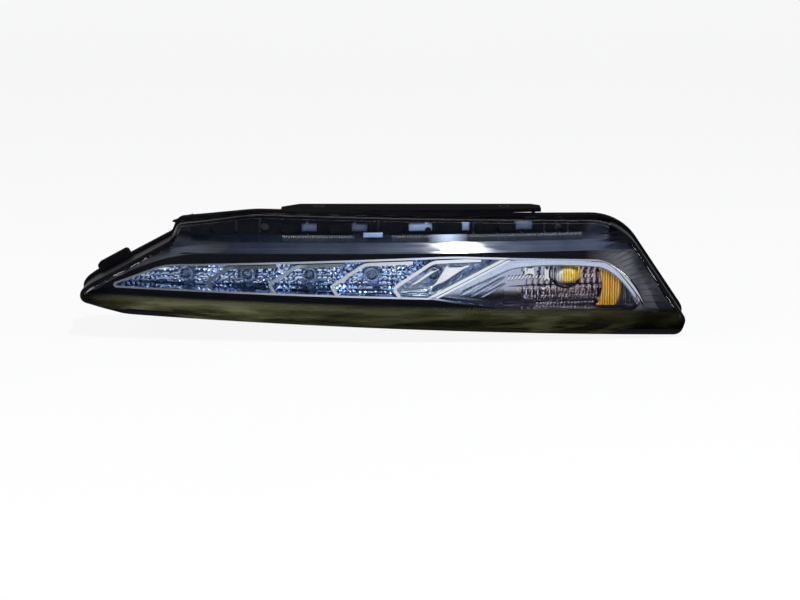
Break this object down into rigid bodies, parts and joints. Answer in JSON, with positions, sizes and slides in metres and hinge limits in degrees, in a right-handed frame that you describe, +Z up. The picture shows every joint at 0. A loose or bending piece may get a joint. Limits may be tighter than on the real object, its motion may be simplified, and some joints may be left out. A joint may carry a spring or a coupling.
{
  "type": "daytime running light",
  "caption": "Slim black car front lamp: clear cover over slanted bright running-light bays with leaning blades, and a fluted indicator bay with an amber bulb.",
  "frame": {"origin": "foot of the locating pin, on the flat rear wall of the housing", "axes": "+X to the right as seen from the front, along the lamp; +Y out of the back, along the locating pin; +Z up"},
  "size_m": [0.5143, 0.121, 0.1076],
  "materials": {
    "housing_black": "fine grain, satin",
    "lens_clear": "clear, hard coated",
    "sealant": "matte bead",
    "bezel_black": "gloss black",
    "bright_metal": "metallised mirror film on plastic",
    "light_guide": "clear, polished",
    "amber_clear": "amber, clear",
    "board_white": "white solder mask",
    "led_yellow": "phosphor",
    "heat_sink_metal": "plain, satin",
    "screw_steel": "zinc plated",
    "insert_brass": "plain",
    "contact_tin": "tin plated",
    "seal_rubber": "matte",
    "header_plastic": "satin",
    "holder_plastic": "satin grey",
    "lead_sleeve": "matte"
  },
  "bodies": {
    "root": {"housing": "housing_black", "outer_lens": "lens_clear", "lens_seal": "sealant", "bezel": "bezel_black", "drl_reflector": "bright_metal", "turn_reflector": "bright_metal", "side_reflex": "amber_clear", "turn_bulb": "amber_clear", "led_board": "board_white", "heat_sink": "heat_sink_metal", "bezel_screws": "screw_steel", "plate_screws": "screw_steel", "header_seal": "seal_rubber", "plug_header": "header_plastic", "header_tabs": "contact_tin", "inner_lead": "lead_sleeve", "socket_seal": "seal_rubber", "bulb_holder": "holder_plastic", "holder_tabs": "contact_tin", "rear_insert": "insert_brass", "shelf_bush_1": "screw_steel", "shelf_bush_2": "screw_steel", "vent_cap_1": "seal_rubber", "vent_cap_2": "seal_rubber", "light_blade_1": "light_guide", "led_1": "led_yellow", "led_optic_1": "light_guide", "light_blade_2": "light_guide", "led_2": "led_yellow", "led_optic_2": "light_guide", "light_blade_3": "light_guide", "led_3": "led_yellow", "led_optic_3": "light_guide", "light_blade_4": "light_guide", "led_4": "led_yellow", "led_optic_4": "light_guide", "light_blade_5": "light_guide", "led_5": "led_yellow", "led_optic_5": "light_guide"}
  },
  "joints": []
}
